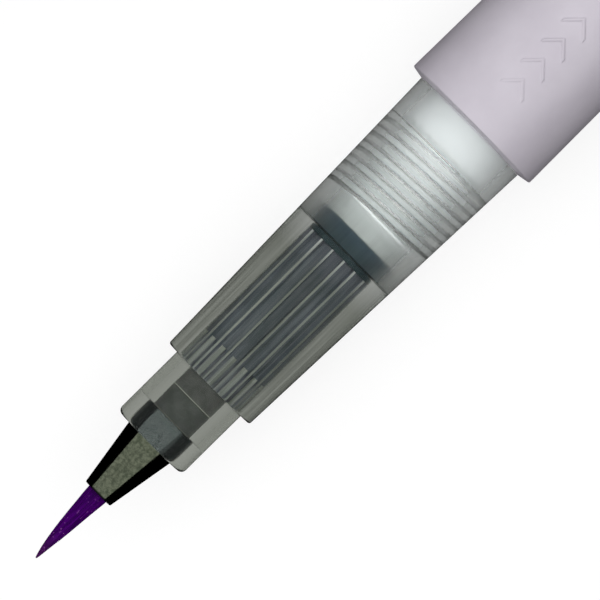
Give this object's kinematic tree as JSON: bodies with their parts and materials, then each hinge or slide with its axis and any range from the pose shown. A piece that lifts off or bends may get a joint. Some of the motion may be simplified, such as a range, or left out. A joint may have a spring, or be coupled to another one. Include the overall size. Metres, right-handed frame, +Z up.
{
  "type": "brush pen",
  "caption": "Squeeze brush pen: pointed filament tip, clear screw-on grip with a felt ink reservoir, soft ink barrel, and a clip cap posted on the tail",
  "frame": {"origin": "Centre of the bounding box in plan, at the height of the table the pen lies on", "axes": "+X runs along the pen from the bristle tip to the cap's crown; +Z is up, with the raised squeeze mark on top; +Y is across the pen, on the clip's side"},
  "size_m": [0.188, 0.013, 0.013],
  "materials": {
    "bristles": "fine filaments wet with glitter ink",
    "black_gloss": "polished",
    "fibre_dark": "ink-soaked felt",
    "white_plastic": "moulded",
    "clear_smoke": "clear, smoky",
    "slate_plastic": "moulded",
    "seal_rubber": "smooth",
    "barrel_soft": "soft satin polyethylene",
    "steel_ball": "polished",
    "violet_gloss": "glossy with fine glitter",
    "clip_steel": "brushed"
  },
  "bodies": {
    "barrel": {"squeeze_barrel": "barrel_soft", "neck_plug": "white_plastic", "tail_plug": "violet_gloss"},
    "seal": {"seal_ring": "seal_rubber"},
    "front": {"front_section": "clear_smoke", "ferrule": "black_gloss", "bristle_tuft": "bristles", "tuft_collar": "white_plastic", "relay_core": "fibre_dark", "nose_felt": "fibre_dark", "felt_bush": "fibre_dark", "ink_absorber": "fibre_dark", "flow_disc": "slate_plastic"},
    "ball": {"mixing_ball": "steel_ball"},
    "cap": {"cap_shell": "violet_gloss", "cap_liner": "white_plastic", "cap_crown": "violet_gloss"},
    "clip": {"cap_clip": "clip_steel"}
  },
  "joints": [
    {"name": "front_travel", "type": "slide", "parent": "barrel", "child": "seal", "axis": [-1, 0, 0], "range_m": [0, 0.0064]},
    {"name": "front_turn", "type": "hinge", "parent": "seal", "child": "front", "pos_m": [-0.04555, 0, 0.0065], "axis": [-1, 0, 0], "range_deg": [0, 1440]},
    {"name": "cap_pull", "type": "slide", "parent": "barrel", "child": "cap", "axis": [1, 0, 0], "range_m": [0, 0.03]},
    {"name": "clip_lift", "type": "hinge", "parent": "cap", "child": "clip", "pos_m": [0.09112, 0.00474, 0.00142], "axis": [0, -0.7308, -0.6826], "range_deg": [0, 5], "stiffness_Nm_per_rad": 0.4, "springref_deg": -1.15},
    {"name": "ball_travel", "type": "slide", "parent": "barrel", "child": "ball", "axis": [1, 0, 0], "range_m": [-0.015, 0.049]}
  ],
  "couplings": [
    {"joint": "front_turn", "follows": "front_travel", "rad_per_m": 3927}
  ]
}
